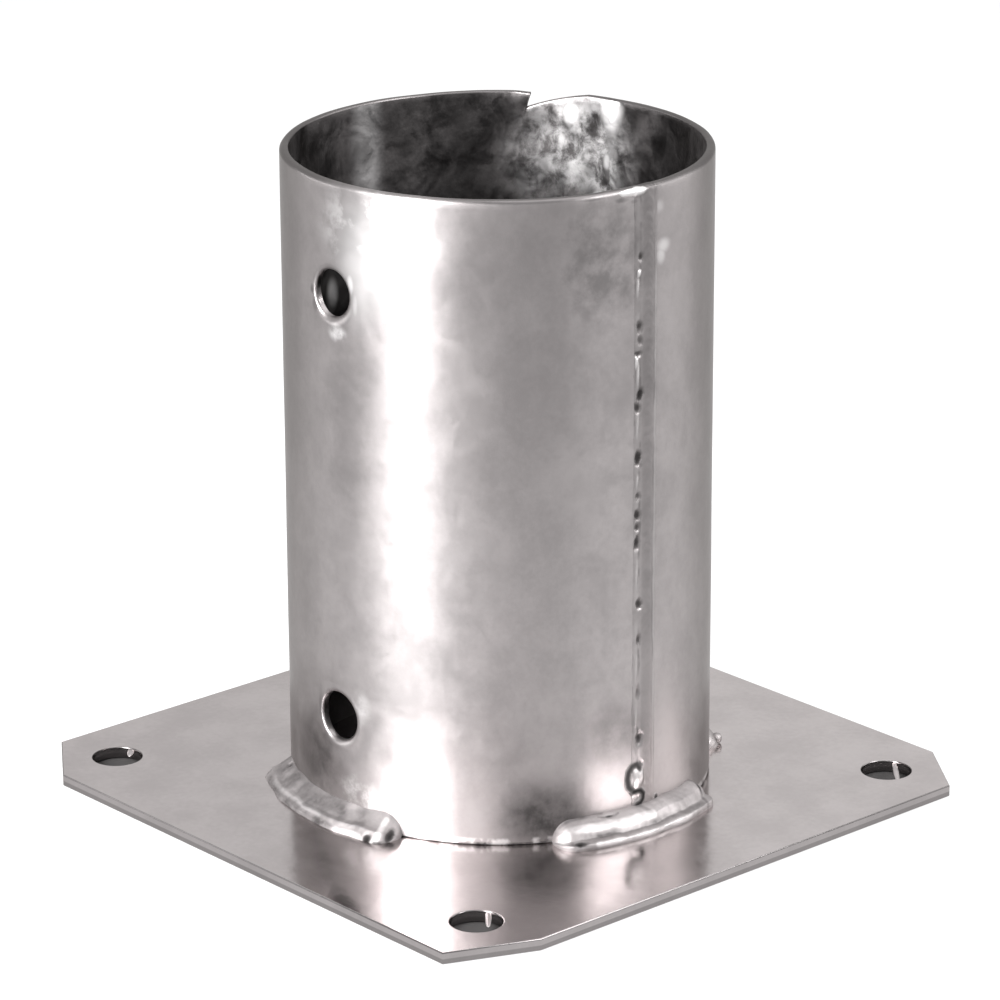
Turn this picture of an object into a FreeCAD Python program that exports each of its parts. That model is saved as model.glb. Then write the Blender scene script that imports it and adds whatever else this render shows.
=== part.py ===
"""Column base plate: a rolled and welded sleeve for a round post, stitch-welded to a square plate.

Lengths are in millimetres and angles in degrees. The origin is the centre of the plate's underside, +Z is up
along the sleeve, and the plate's sides are parallel to X and Y. Angles are counted round +Z from +X.
"""
import FreeCAD
import Part
import os
from math import asin, cos, degrees, hypot, pi, radians, sin, sqrt

from FreeCAD import Vector

# Base plate
PLATE_SIDE = 172.0
PLATE_THICKNESS = 3.0
PLATE_EDGE_ROUND = 0.5

# Clipped corners: the leg met first and the leg met second, going round the plate counter-clockwise.
# The corner at +X, -Y was cut more askew than the others.
CLIP_FIRST_LEG = 13.0
CLIP_SECOND_LEG = 18.0
SKEWED_CLIP_FIRST_LEG = 9.5
SKEWED_CLIP_SECOND_LEG = 22.0

# Anchor holes in the plate, each set in from the two sides that meet at its corner
ANCHOR_INSET = 17.5
ANCHOR_HOLE_DIAMETER = 12.5

# Sleeve
SLEEVE_BORE = 100.6
SLEEVE_WALL = 2.2
SLEEVE_LENGTH = 161.0
RIM_OUTER_ROUND = 1.0
RIM_INNER_ROUND = 0.4

# Cross-bolt holes through both walls of the sleeve, along Y; the height is above the plate
BOLT_HOLE_DIAMETER = 12.4
BOLT_HOLE_MOUTH = 0.7
LOWER_BOLT_HEIGHT = 26.5
BOLT_SPACING = 107.0

# Tear in the far rim: a steep lip on one side of its root and a long slope on the other
TEAR_ROOT_ANGLE = 130.4
TEAR_LIP_TURN = 1.7
TEAR_SLOPE_TURN = 18.4
TEAR_DEPTH = 4.2
TEAR_SLOPE_SAG = 0.45

# Longitudinal seam weld, with the lump where it was started and the one where it ran off the rim.
# A lump's size is its radial, sideways and upright diameters.
SEAM_ANGLE = 0.5
SEAM_GAP = 1.6
SEAM_FACE_WIDTH = 5.4
SEAM_CROWN = 0.45
START_LUMP_ANGLE = -2.3
START_LUMP_HEIGHT = 12.0
START_LUMP_SIZE = (2.4, 5.6, 6.4)
RUN_OFF_ANGLE = -5.6
RUN_OFF_DROP = 1.6
RUN_OFF_SIZE = (2.0, 7.6, 3.0)

# Stitch welds between the sleeve and the plate
BEAD_ROOT_DEPTH = 1.0
BEAD_BULGE = 0.8
BEAD_END_LENGTH = 5.0
BEAD_RIPPLE_PITCH = 4.0
BEAD_RIPPLE = 0.035
CRATER_RADIUS = 2.0
CRATER_DEPTH = 1.1
BALL_DIAMETER = 3.0
BALL_OFFSET = 3.9
BALL_HEIGHT = 1.2

# First and last angle, leg along the plate, leg up the sleeve, ridges on the face, angles of the craters,
# angles of the balls of spatter melted into the toe
STITCHES = {
    "stitch_weld_plus_x": (-28.0, 24.5, 7.0, 5.4, 2, (-23.5,), ()),
    "stitch_weld_plus_y": (57.0, 119.0, 4.4, 4.6, 1, (115.5,), (61.5,)),
    "stitch_weld_minus_x": (150.0, 208.0, 5.6, 5.2, 1, (203.5,), ()),
    "stitch_weld_minus_y": (-131.5, -68.5, 6.4, 5.4, 1, (-76.5, -71.5), ()),
}

# Flats that stand for a rounded profile, per quarter turn
FLATS_PER_QUARTER = 3

BORE_RADIUS = SLEEVE_BORE / 2
SLEEVE_RADIUS = BORE_RADIUS + SLEEVE_WALL
RIM_HEIGHT = PLATE_THICKNESS + SLEEVE_LENGTH
AXIS_FOOT = Vector(0, 0, 0)
UP = Vector(0, 0, 1)


def polar(radius, angle, height=0.0):
    """Point at a radius from the sleeve's axis, at an angle and a height."""
    return Vector(radius * cos(radians(angle)), radius * sin(radians(angle)), height)


def outline(points):
    """Closed wire of straight edges through points."""
    return Part.makePolygon(points + [points[0]])


def prism(points, along):
    """Solid made by moving a flat closed outline along a vector."""
    return Part.Face(outline(points)).extrude(along)


def arc_points(centre, radius, first_angle, last_angle):
    """Points of an arc in the X-Z plane, a few flats to each quarter turn."""
    flats = round(abs(last_angle - first_angle) / 90.0 * FLATS_PER_QUARTER)
    angles = [radians(first_angle + (last_angle - first_angle) * k / flats) for k in range(flats + 1)]
    return [centre + Vector(radius * cos(angle), 0, radius * sin(angle)) for angle in angles]


def blob(diameters, centre, turn):
    """Ball of flat facets with its own diameter along each axis, turned round +Z."""
    half_x, half_y, half_z = (diameter / 2 for diameter in diameters)
    half_step = 45.0 / FLATS_PER_QUARTER
    rings = []
    for row in range(2 * FLATS_PER_QUARTER):
        tilt = radians(half_step * (2 * row + 1) - 90.0)
        around = [radians(2 * half_step * k) for k in range(4 * FLATS_PER_QUARTER)]
        rings.append(outline([
            Vector(half_x * cos(tilt) * cos(spin), half_y * cos(tilt) * sin(spin), half_z * sin(tilt))
            for spin in around
        ]))
    solid = Part.makeLoft(rings, True, True)
    solid.Placement = FreeCAD.Placement(centre, FreeCAD.Rotation(UP, turn))
    return solid


def only_solid(shape):
    """The single valid solid that a shape should hold."""
    if len(shape.Solids) != 1 or not shape.isValid():
        raise ValueError("expected one valid solid, found %d" % len(shape.Solids))
    return shape.Solids[0]


def plate_outline():
    """Corners of the plate, counter-clockwise from the skewed clip at +X, -Y."""
    half = PLATE_SIDE / 2
    legs = [(SKEWED_CLIP_FIRST_LEG, SKEWED_CLIP_SECOND_LEG)] + 3 * [(CLIP_FIRST_LEG, CLIP_SECOND_LEG)]
    points = []
    for quarter, (first_leg, second_leg) in enumerate(legs):
        turn = FreeCAD.Rotation(UP, 90.0 * quarter)
        points.append(turn.multVec(Vector(half - first_leg, -half, 0)))
        points.append(turn.multVec(Vector(half, second_leg - half, 0)))
    return points


def base_plate():
    """Sheared plate with rounded upper and lower edges and four anchor holes."""
    plate = prism(plate_outline(), UP * PLATE_THICKNESS)
    outline_edges = [edge for edge in plate.Edges if edge.BoundBox.ZLength < PLATE_THICKNESS / 2]
    plate = plate.makeFillet(PLATE_EDGE_ROUND, outline_edges)
    reach = PLATE_SIDE / 2 - ANCHOR_INSET
    drills = [
        Part.makeCylinder(ANCHOR_HOLE_DIAMETER / 2, 3 * PLATE_THICKNESS, Vector(x, y, -PLATE_THICKNESS))
        for x in (-reach, reach)
        for y in (-reach, reach)
    ]
    return only_solid(plate.cut(drills))


def tube(outer_radius):
    """Open tube with the sleeve's bore and a rounded rim, turned from its wall section."""
    outer_centre = Vector(outer_radius - RIM_OUTER_ROUND, 0, RIM_HEIGHT - RIM_OUTER_ROUND)
    inner_centre = Vector(BORE_RADIUS + RIM_INNER_ROUND, 0, RIM_HEIGHT - RIM_INNER_ROUND)
    foot = [Vector(BORE_RADIUS, 0, PLATE_THICKNESS), Vector(outer_radius, 0, PLATE_THICKNESS)]
    outer_shoulder = arc_points(outer_centre, RIM_OUTER_ROUND, 0.0, 90.0)
    inner_shoulder = arc_points(inner_centre, RIM_INNER_ROUND, 90.0, 180.0)
    return Part.Face(outline(foot + outer_shoulder + inner_shoulder)).revolve(AXIS_FOOT, UP, 360.0)


def seam_filling():
    """Weld metal between the edges of the rolled sheet: wedge-shaped, flush inside and crowned outside."""
    face_turn = degrees(asin(SEAM_FACE_WIDTH / 2 / SLEEVE_RADIUS))
    root_turn = degrees(asin(SEAM_GAP / 2 / BORE_RADIUS))
    toes = [polar(SLEEVE_RADIUS, SEAM_ANGLE + side * face_turn, PLATE_THICKNESS) for side in (-1, 1)]
    roots = [polar(BORE_RADIUS, SEAM_ANGLE + side * root_turn, PLATE_THICKNESS) for side in (-1, 1)]
    crown = polar(SLEEVE_RADIUS + SEAM_CROWN, SEAM_ANGLE, PLATE_THICKNESS)
    root_middle = polar(BORE_RADIUS, SEAM_ANGLE, PLATE_THICKNESS)
    section = Part.Wire([
        Part.Arc(toes[0], crown, toes[1]).toShape(),
        Part.makeLine(toes[1], roots[1]),
        Part.Arc(roots[1], root_middle, roots[0]).toShape(),
        Part.makeLine(roots[0], toes[0]),
    ])
    return Part.Face(section).extrude(UP * SLEEVE_LENGTH)


def bolt_cutters(height):
    """Drill through both walls of the sleeve along Y, with a cone at each mouth that breaks its edge."""
    radius = BOLT_HOLE_DIAMETER / 2
    reach = 2 * SLEEVE_RADIUS
    cutters = [Part.makeCylinder(radius, 2 * reach, Vector(0, -reach, height), Vector(0, 1, 0))]
    for side in (-1, 1):
        outside = Vector(0, side * (SLEEVE_RADIUS + radius - BOLT_HOLE_MOUTH), height)
        cutters.append(Part.makeCone(2 * radius, 0, 2 * radius, outside, Vector(0, -side, 0)))
    return cutters


def rim_tear():
    """Cutter for the tear in the far rim, seen flat along the wall and pushed through it."""
    middle_angle = TEAR_ROOT_ANGLE - TEAR_SLOPE_TURN / 2
    outward = polar(1, middle_angle)
    round_wall = UP.cross(outward)
    start = outward * (BORE_RADIUS * cos(radians(TEAR_SLOPE_TURN)) - SLEEVE_WALL)

    def on_wall(angle, rise):
        across = SLEEVE_RADIUS * sin(radians(angle - middle_angle))
        return start + round_wall * across + UP * (RIM_HEIGHT + rise)

    above = UP * TEAR_DEPTH
    root = on_wall(TEAR_ROOT_ANGLE, -TEAR_DEPTH)
    lip = on_wall(TEAR_ROOT_ANGLE - TEAR_LIP_TURN, 0)
    slope_end = on_wall(TEAR_ROOT_ANGLE - TEAR_SLOPE_TURN, 0)
    slope_middle = on_wall(middle_angle, TEAR_SLOPE_SAG - TEAR_DEPTH / 2)
    notch = Part.Wire([
        Part.makeLine(lip, root),
        Part.Arc(root, slope_middle, slope_end).toShape(),
        Part.makeLine(slope_end, slope_end + above),
        Part.makeLine(slope_end + above, lip + above),
        Part.makeLine(lip + above, lip),
    ])
    return Part.Face(notch).extrude(outward * SLEEVE_RADIUS)


def post_sleeve():
    """Rolled sheet with its seam groove, cross-bolt holes and torn rim."""
    lower = PLATE_THICKNESS + LOWER_BOLT_HEIGHT
    cutters = [seam_filling(), rim_tear()] + bolt_cutters(lower) + bolt_cutters(lower + BOLT_SPACING)
    return only_solid(tube(SLEEVE_RADIUS).cut(cutters))


def seam_weld(sleeve):
    """Seam weld from foot to rim, with a lump near each end lying on the sleeve."""
    filling = seam_filling().common(tube(SLEEVE_RADIUS + SEAM_CROWN))
    start_centre = polar(SLEEVE_RADIUS, START_LUMP_ANGLE, PLATE_THICKNESS + START_LUMP_HEIGHT)
    start_lump = blob(START_LUMP_SIZE, start_centre, START_LUMP_ANGLE)
    run_off_centre = polar(SLEEVE_RADIUS, RUN_OFF_ANGLE, RIM_HEIGHT - RUN_OFF_DROP)
    run_off = blob(RUN_OFF_SIZE, run_off_centre, RUN_OFF_ANGLE)
    inside = Part.makeCylinder(BORE_RADIUS, SLEEVE_LENGTH, Vector(0, 0, PLATE_THICKNESS))
    return only_solid(filling.fuse([start_lump.cut([sleeve, inside]), run_off.cut([sleeve, inside])]))


def arc_length(angle):
    """Distance round the sleeve's outer face that an angle spans."""
    return radians(angle) * SLEEVE_RADIUS


def bead_scale(distance, length):
    """Size of a bead's section at a distance from its start: rounded off at both ends, rippled between."""
    from_end = min(distance, length - distance)
    if from_end < BEAD_END_LENGTH:
        return sqrt(1 - (1 - from_end / BEAD_END_LENGTH) ** 2)
    return 1 - BEAD_RIPPLE * sin(pi * distance / BEAD_RIPPLE_PITCH) ** 2


def crater_dip(distance, craters):
    """Depth of the craters at a distance from the bead's start, as a share of their full depth."""
    return max([0.0] + [1 - ((distance - crater) / CRATER_RADIUS) ** 2 for crater in craters])


def bead_section(angle, scale, dip, leg_out, leg_up, ridges):
    """Section of a bead at an angle: a triangle with one or two ridges on its face, dished at a crater.

    It is rooted a little inside the plate and the sleeve, which are cut away from it later.
    """
    out = scale * leg_out
    rise = scale * leg_up
    slope = hypot(out, rise)
    flats = 2 * FLATS_PER_QUARTER
    face = [(-BEAD_ROOT_DEPTH, -BEAD_ROOT_DEPTH), (out, -BEAD_ROOT_DEPTH)]
    for k in range(flats + 1):
        along = k / flats
        ridge = along * ridges % 1
        proud = 4 * ridge * (1 - ridge) * scale * BEAD_BULGE
        proud -= dip * CRATER_DEPTH * max(0.0, 1 - ((along - 0.5) * slope / CRATER_RADIUS) ** 2)
        face.append((out * (1 - along) + proud * rise / slope, rise * along + proud * out / slope))
    face.append((-BEAD_ROOT_DEPTH, rise))
    return outline([polar(SLEEVE_RADIUS + across, angle, PLATE_THICKNESS + up) for across, up in face])


def bead_distances(length, craters):
    """Distances along a bead at which its section is drawn: closer together at its ends and craters."""
    near_end = [share * BEAD_END_LENGTH for share in (0.03, 0.12, 0.3, 0.6)]
    steps = round((length - 2 * BEAD_END_LENGTH) / BEAD_RIPPLE_PITCH) * 2
    step = (length - 2 * BEAD_END_LENGTH) / steps
    plain = near_end + [BEAD_END_LENGTH + step * k for k in range(steps + 1)]
    plain += [length - distance for distance in near_end]
    for crater in craters:
        plain = [distance for distance in plain if abs(distance - crater) > 1.15 * CRATER_RADIUS]
        plain += [crater + share * CRATER_RADIUS for share in (-1.0, -0.5, 0.0, 0.5, 1.0)]
    return sorted(plain)


def stitch_weld(name, seam):
    """Fillet weld lying in the corner between the sleeve and the plate, clear of the seam weld."""
    first_angle, last_angle, leg_out, leg_up, ridges, crater_angles, balls = STITCHES[name]
    length = arc_length(last_angle - first_angle)
    craters = [arc_length(angle - first_angle) for angle in crater_angles]
    sections = []
    for distance in bead_distances(length, craters):
        angle = first_angle + degrees(distance / SLEEVE_RADIUS)
        scale = bead_scale(distance, length)
        dip = crater_dip(distance, craters)
        sections.append(bead_section(angle, scale, dip, leg_out, leg_up, ridges))
    bead = Part.makeLoft(sections, True, True)
    for angle in balls:
        centre = polar(SLEEVE_RADIUS + BALL_OFFSET, angle, PLATE_THICKNESS + BALL_HEIGHT)
        bead = bead.fuse(blob((BALL_DIAMETER, BALL_DIAMETER, BALL_DIAMETER), centre, angle))
    sleeve_space = Part.makeCylinder(SLEEVE_RADIUS, SLEEVE_LENGTH)
    plate_space = Part.makeCylinder(PLATE_SIDE, 2 * PLATE_THICKNESS, Vector(0, 0, -PLATE_THICKNESS))
    return bead.cut([sleeve_space, plate_space, seam])


def main():
    """Builds every piece and writes each to its own file."""
    sleeve = post_sleeve()
    seam = seam_weld(sleeve)
    pieces = {"base_plate": base_plate(), "post_sleeve": sleeve, "seam_weld": seam}
    for name in STITCHES:
        pieces[name] = only_solid(stitch_weld(name, seam))
    os.makedirs("parts", exist_ok=True)
    for name, solid in pieces.items():
        solid.exportStep("parts/%s.step" % name)


main()
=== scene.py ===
"""Looks of the column base plate: galvanised sleeve and plate with their welds, on a pale studio floor."""
import math

import bmesh
import bpy
import numpy as np
from mathutils import Matrix, Vector, noise


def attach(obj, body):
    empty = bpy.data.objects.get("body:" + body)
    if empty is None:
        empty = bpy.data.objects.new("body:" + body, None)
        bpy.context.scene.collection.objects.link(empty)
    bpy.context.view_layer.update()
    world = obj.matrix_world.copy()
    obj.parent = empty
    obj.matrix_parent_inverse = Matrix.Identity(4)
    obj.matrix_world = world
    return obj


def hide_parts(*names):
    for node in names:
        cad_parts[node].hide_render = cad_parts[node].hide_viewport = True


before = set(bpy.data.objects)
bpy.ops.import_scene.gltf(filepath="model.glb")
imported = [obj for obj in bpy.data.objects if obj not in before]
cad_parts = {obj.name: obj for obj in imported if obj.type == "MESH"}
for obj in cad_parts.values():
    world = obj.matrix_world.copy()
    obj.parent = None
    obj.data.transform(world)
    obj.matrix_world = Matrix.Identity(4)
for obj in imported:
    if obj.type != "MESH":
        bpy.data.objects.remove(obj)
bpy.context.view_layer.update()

# Sizes in millimetres and angles in degrees. The main sizes are those of the solids; the plate's edges are
# rounded by 0.5 there, and the sleeve's foot isn't rounded there.
MM = 0.001
PLATE_SIDE = 172.0
PLATE_THICKNESS = 3.0
PLATE_EDGE_ROUND = 0.3
CLIP_LEGS = ((9.5, 22.0), (13.0, 18.0), (13.0, 18.0), (13.0, 18.0))
ANCHOR_REACH = 68.5
ANCHOR_RADIUS = 6.25
BORE_RADIUS = 50.3
SLEEVE_RADIUS = 52.5
RIM_HEIGHT = 164.0
RIM_OUTER_ROUND = 1.0
RIM_INNER_ROUND = 0.4
FOOT_ROUND = 0.6
BOLT_HEIGHTS = (29.5, 136.5)

# Tear in the rim: where its slope begins, its root, where its bent lip ends over the slope and begins, and
# how far the lip is bent inwards
TEAR_END = 112.0
TEAR_ROOT = 130.4
TEAR_LIP = 128.7
LIP_START = 136.0
LIP_BEND = 1.3

# Top of the sleeve's grid below its rounded rim, and the height above which it follows the tear
WALL_TOP = 163.0
FOLLOWS_TEAR = 145.5

# Groove under the seam weld: the angles of its sides, and its depth
SEAM_LEFT = -4.2
SEAM_RIGHT = 3.45
GROOVE_DEPTH = 1.3

# Millimetres to a degree round the sleeve's outer face
MM_A_DEGREE = 0.916

# Half sizes of the patch of the sleeve's grid that makes room for each bolt hole: degrees round, and height
PATCH_TURN = 10.0
PATCH_RISE = 9.0

# Walls of the bolt holes, lower and upper: depth below the sleeve's outer face, and radius there
MOUTHS = (
    ((0.0, 7.5), (0.05, 7.15), (0.18, 6.8), (0.4, 6.5), (0.75, 6.25),
     (1.3, 6.1), (1.9, 6.1), (2.1, 6.2), (2.2, 6.4)),
    ((0.0, 7.6), (0.06, 7.2), (0.22, 6.75), (0.5, 6.35), (0.85, 6.0),
     (1.3, 5.75), (1.9, 5.75), (2.1, 5.95), (2.2, 6.2)),
)

# Sideways lean of the inner part of those walls on the side that faces -Y, and the depth where it is full
LEANS = (-0.7, -1.0)
LEAN_DEPTH = 1.3

# Pits in the seam weld: height, angle, half sizes along and across before seam() widens them, and depth
SEAM_PITS = (
    (147.0, -2.0, 0.9, 0.8, 0.5), (130.0, -2.3, 1.3, 0.9, 0.7), (126.6, -2.2, 1.0, 0.7, 0.3),
    (123.4, -2.9, 0.7, 1.1, 0.6), (113.0, -1.9, 1.6, 0.9, 0.9), (110.0, -3.0, 1.1, 1.0, 0.6),
    (97.4, -2.4, 1.8, 1.0, 0.9), (88.0, -2.7, 1.0, 0.8, 0.5), (83.0, -2.5, 1.2, 0.9, 0.8),
    (80.0, -2.7, 1.0, 0.8, 0.6), (76.0, -2.8, 1.5, 0.9, 0.8), (60.5, -2.1, 1.2, 0.9, 0.7),
    (51.3, -2.0, 1.4, 0.7, 0.5), (38.0, -2.4, 1.5, 0.6, 0.3), (25.9, -1.8, 1.5, 1.0, 0.7),
    (19.0, -1.7, 1.1, 1.0, 0.4),
)

# Small drips of zinc on the seam weld: height, angle, half sizes along and across, and brightness
SEAM_DRIPS = (
    (143.2, -2.7, 1.0, 0.9, 0.8), (139.8, -3.1, 2.6, 0.6, 0.4), (121.6, -3.4, 1.9, 0.7, 0.75),
    (118.4, -2.9, 3.2, 0.6, 0.45), (105.2, -3.0, 3.2, 0.6, 0.3), (91.6, -3.0, 2.0, 0.5, 0.3),
    (68.0, -3.0, 4.5, 0.5, 0.25), (44.0, -3.0, 4.0, 0.5, 0.2), (31.5, -3.0, 3.0, 0.5, 0.2),
)

# Crooked edge of the lump where the seam weld starts, as angles and heights; its last part is a raised hook
LUMP_EDGE = (
    (-1.7, 18.0), (-2.6, 19.2), (-4.2, 18.9), (-5.3, 17.6), (-5.7, 15.9), (-5.3, 13.9), (-3.9, 12.4),
    (-2.6, 12.4), (-1.4, 12.2), (-0.5, 11.2), (-0.7, 9.9), (-1.4, 9.1), (-2.7, 8.8),
)
HOOK_START = 6

# Stitch welds: first and last angle, legs out and up, proud profile from plate to sleeve, craters, painted shade
# strokes, painted highlight strokes, and the seed of their noise.
# A crater is an angle, a place across, half sizes along and across, a depth and how dark its painted shade is inside.
# A stroke is a line of angles and places across, with a half width in millimetres and a strength.
STITCHES = {
    "stitch_weld_minus_y": (
        -128.0, -68.5, 6.6, 5.2,
        ((0, 0), (0.08, 0.3), (0.2, 0.4), (0.32, 0.6), (0.45, 0.3), (0.6, 0.15), (0.8, 0.08), (1, 0)),
        ((-119.5, 0.86, 1.2, 1.1, 0.5, 0.7), (-75.0, 0.08, 1.25, 1.3, 0.5, 0.9), (-70.2, 0.3, 0.9, 3.3, 0.8, 0.9)),
        ((((-127.0, 0.75), (-108.0, 0.7), (-90.0, 0.72), (-81.0, 0.7)), 3.4, 0.52),
         (((-124.0, 0.05), (-105.0, 0.08), (-88.0, 0.06)), 2.4, 0.55),
         (((-98.0, 0.4), (-88.0, 0.42), (-79.0, 0.4)), 2.2, 0.5),
         (((-72.8, 0.02), (-69.5, 0.02)), 0.7, 0.6)),
        ((((-117.0, 0.2), (-106.0, 0.32), (-98.0, 0.32), (-92.0, 0.28)), 1.0, 0.28),
         (((-84.5, 0.06), (-77.5, 0.08)), 0.8, 0.4),
         (((-72.6, 0.05), (-72.4, 0.8)), 0.9, 0.6)), 3.0),
    "stitch_weld_plus_x": (
        -28.0, 24.5, 7.0, 5.6,
        ((0, 0), (0.05, 0.5), (0.12, 0.95), (0.22, 0.6), (0.35, 0.1),
         (0.48, 0.5), (0.6, 0.85), (0.75, 0.7), (0.9, 0.35), (1, 0)),
        ((-22.4, 0.17, 1.9, 1.0, 0.5, 0.95), (-12.3, 0.85, 1.5, 0.45, 0.3, 0.75)),
        ((((-20.0, 0.38), (-9.0, 0.35), (1.0, 0.38), (12.0, 0.24), (17.0, 0.2)), 1.1, 0.45),
         (((-24.0, 0.0), (-8.0, 0.0), (8.0, 0.0), (13.0, 0.02)), 0.5, 0.5),
         (((20.8, 0.78), (19.6, 0.5), (18.6, 0.28), (17.6, 0.04)), 0.6, 0.75),
         (((-15.4, 0.9), (-12.4, 0.78), (-9.4, 0.9)), 0.35, 0.5),
         (((-26.0, 0.9), (-21.0, 0.98), (-14.0, 1.0)), 0.6, 0.4),
         (((9.0, 0.75), (15.0, 0.6)), 3.0, 0.14)),
        ((((-26.0, 0.3), (-24.5, 0.65), (-17.0, 0.62), (-8.0, 0.6), (0.0, 0.62)), 1.3, 0.5),
         (((-18.0, 0.1), (-8.0, 0.11), (3.0, 0.1), (12.0, 0.08)), 0.9, 0.5)), 11.0),
    "stitch_weld_plus_y": (
        57.0, 119.0, 4.6, 4.6, ((0, 0), (0.2, 0.6), (0.5, 0.85), (0.8, 0.6), (1, 0)),
        ((115.5, 0.5, 1.6, 1.6, 1.2, 0.9),), (), (), 23.0),
    "stitch_weld_minus_x": (
        150.0, 208.0, 5.6, 5.2, ((0, 0), (0.2, 0.65), (0.5, 0.85), (0.8, 0.6), (1, 0)),
        ((203.5, 0.5, 1.7, 1.7, 1.2, 0.9),), (), (), 31.0),
}

# Ball of spatter in the toe of the stitch weld that faces +Y: radius, angle and height of its middle, and
# its size along each axis
SPATTER_PLACE = (56.4, 61.5, 4.35)
SPATTER_SIZES = (3.0, 3.0, 2.76)

# Drips of zinc that hang in the anchor holes, all run the same way: name, middle, length and width
DRIP_TURN = -41.7
DRIP_HEIGHT = 2.3
DRIP_THICKNESS = 0.9
DRIPS = (
    ("drip_left", -69.87, -63.27, 6.0, 1.6),
    ("drip_front", 68.09, -64.45, 10.0, 1.5),
    ("drip_right", 70.06, 70.45, 14.0, 1.4),
)


# Shapes

def smooth(edge0, edge1, value):
    """Ramp from 0 at the first edge to 1 at the second, eased at both."""
    t = np.clip((value - edge0) / (edge1 - edge0), 0.0, 1.0)
    return t * t * (3 - 2 * t)


def hump(distance, width):
    """Rounded hump of height 1, gone at a width from its middle."""
    t = np.clip(1 - (distance / width) ** 2, 0.0, 1.0)
    return t * t


def ripple(points, scale, seed, octaves):
    """Smooth noise of about -1 to 1 at points in millimetres."""
    flat = np.asarray(points).reshape(-1, 3) / scale + (seed, -seed, 2 * seed)
    values = [noise.fractal(Vector(point), 0.9, 2.1, octaves) for point in flat.tolist()]
    return np.array(values).reshape(np.asarray(points).shape[:-1])


def around(radius, angle, height):
    """Points from a radius and an angle round the sleeve's axis, and a height."""
    radius, angle, height = np.broadcast_arrays(radius, angle, height)
    turn = np.radians(angle)
    return np.stack([radius * np.cos(turn), radius * np.sin(turn), height], axis=-1)


def stroke(across, along, line, width):
    """Soft mask of 1 on a line of points in millimetres, gone at a width from it."""
    nearest = np.full(np.broadcast(across, along).shape, 1e9)
    for (x0, y0), (x1, y1) in zip(line, line[1:]):
        span = (x1 - x0) ** 2 + (y1 - y0) ** 2
        t = np.clip(((across - x0) * (x1 - x0) + (along - y0) * (y1 - y0)) / span, 0.0, 1.0)
        nearest = np.minimum(nearest, np.hypot(across - x0 - t * (x1 - x0), along - y0 - t * (y1 - y0)))
    return hump(nearest, width)


def new_object(name, points, faces, materials, sharp=35.0, marks=None, tones=()):
    """Smooth-shaded mesh object from points in millimetres, with edges sharp past an angle.

    Marks give each face its material, and tones are labels with a value for each point.
    """
    mesh = bpy.data.meshes.new(name)
    mesh.from_pydata((np.asarray(points) * MM).tolist(), [], faces)
    shell = bmesh.new()
    shell.from_mesh(mesh)
    bmesh.ops.recalc_face_normals(shell, faces=shell.faces)
    shell.to_mesh(mesh)
    shell.free()
    mesh.shade_smooth()
    mesh.set_sharp_from_angle(angle=math.radians(sharp))
    for material in materials:
        mesh.materials.append(material)
    if marks is not None:
        mesh.polygons.foreach_set("material_index", np.asarray(marks, dtype=np.int32))
    for label, values in tones:
        layer = mesh.attributes.new(label, "FLOAT", "POINT")
        layer.data.foreach_set("value", np.clip(values, 0, 1).astype(np.float32).ravel())
    obj = bpy.data.objects.new(name, mesh)
    bpy.context.scene.collection.objects.link(obj)
    return obj


def grid_faces(rows, columns, first=0, closed=False):
    """Faces between the points of a grid stored row by row; closed joins its last column to its first."""
    faces = []
    for i in range(rows - 1):
        for j in range(columns if closed else columns - 1):
            k = (j + 1) % columns
            faces.append((first + i * columns + j, first + i * columns + k,
                          first + (i + 1) * columns + k, first + (i + 1) * columns + j))
    return faces


def bands(loops):
    """Faces between each closed loop of point numbers and the next."""
    return [
        (a[k], a[(k + 1) % len(a)], b[(k + 1) % len(a)], b[k])
        for a, b in zip(loops, loops[1:]) for k in range(len(a))]


class Shell:
    """Points of one mesh, added part by part."""

    def __init__(self):
        self.points = []
        self.count = 0

    def add(self, points):
        """Adds points and gives their numbers."""
        points = points.reshape(-1, 3)
        self.points.append(points)
        self.count += len(points)
        return list(range(self.count - len(points), self.count))


def rim_drop(angle):
    """Drop of the rim along the tear."""
    t = np.clip((angle - TEAR_END) / (TEAR_ROOT - TEAR_END), 0.0, 1.0)
    return np.where(angle <= TEAR_ROOT + 0.01, 2.4 * t + 1.8 * t * t, 0.0)


def sleeve_angles():
    """Angles of the sleeve's grid: every degree, with more at the seam and at the tear."""
    extra = [SEAM_LEFT, SEAM_LEFT + 0.2, SEAM_RIGHT - 0.2, SEAM_RIGHT, TEAR_ROOT, TEAR_ROOT + 0.05]
    tear = [angle for angle in np.arange(124.5, 135.0, 0.25) if abs(angle - TEAR_ROOT) > 0.11]
    return np.array(sorted(set(list(range(-180, 180)) + extra + tear)))


def sleeve_heights():
    """Heights of the sleeve's grid: a millimetre apart at the bolt holes, wider elsewhere."""
    spans = (
        (PLATE_THICKNESS + FOOT_ROUND, 20.5, 10), (20.5, 38.5, 18), (38.5, 127.5, 42),
        (127.5, FOLLOWS_TEAR, 18), (FOLLOWS_TEAR, WALL_TOP, 14))
    return np.array([low + (high - low) * k / steps for low, high, steps in spans for k in range(steps)] + [WALL_TOP])


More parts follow.
